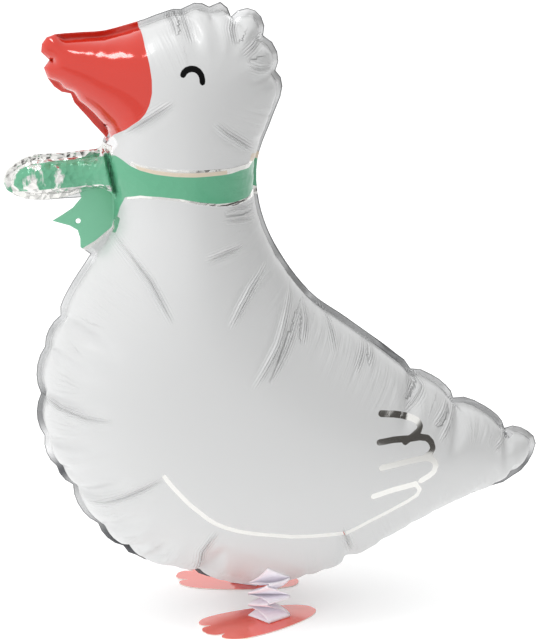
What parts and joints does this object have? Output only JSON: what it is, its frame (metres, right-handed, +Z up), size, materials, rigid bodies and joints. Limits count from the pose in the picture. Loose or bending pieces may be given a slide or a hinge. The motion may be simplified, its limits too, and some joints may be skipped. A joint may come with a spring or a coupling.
{
  "type": "goose foil balloon",
  "caption": "Goose foil balloon with a bow, standing on folded paper legs and card feet.",
  "frame": {"origin": "centre of the bounding box on the floor, between the feet", "axes": "+Z up, the goose faces -X, its left side faces -Y, the weld lies in the plane Y = 0"},
  "size_m": [0.5434, 0.2204, 0.6175],
  "materials": {
    "foil": "satin pearl white printed foil film; printed red beak, green bow and scarf, bare silver wing lines",
    "paper": "matt white paper",
    "card": "coated card, printed orange red"
  },
  "bodies": {
    "root": {"balloon": "foil", "leg_left_strip_a": "paper", "leg_left_strip_b": "paper", "leg_right_strip_a": "paper", "leg_right_strip_b": "paper", "foot_left": "card", "foot_right": "card"}
  },
  "joints": []
}
